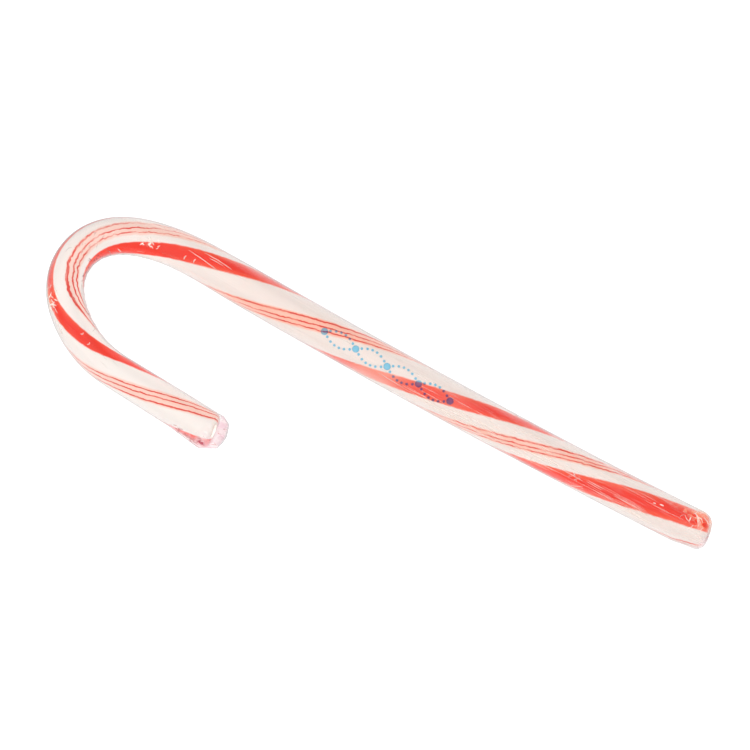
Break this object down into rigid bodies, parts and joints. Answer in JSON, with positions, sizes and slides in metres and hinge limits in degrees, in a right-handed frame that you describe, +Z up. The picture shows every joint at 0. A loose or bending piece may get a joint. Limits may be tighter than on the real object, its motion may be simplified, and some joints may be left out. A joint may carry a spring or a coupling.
{
  "type": "candy cane in clear film",
  "caption": "Hooked stick of white hard candy with twisted red stripes and thin red lines, in a tight clear film sleeve with gathered ends, lying flat.",
  "frame": {"origin": "middle of the footprint, on the surface that the cane lies on", "axes": "+X along the straight shaft towards its foot, +Y from the tail towards the shaft, +Z up out of the side shown"},
  "size_m": [0.14, 0.0362, 0.0079],
  "materials": {
    "candy": "glossy hard candy, white with red stripes",
    "film": "clear shiny film"
  },
  "bodies": {
    "root": {"candy_cane": "candy", "film_foot_cap": "film", "film_tail_cap": "film"}
  },
  "joints": []
}
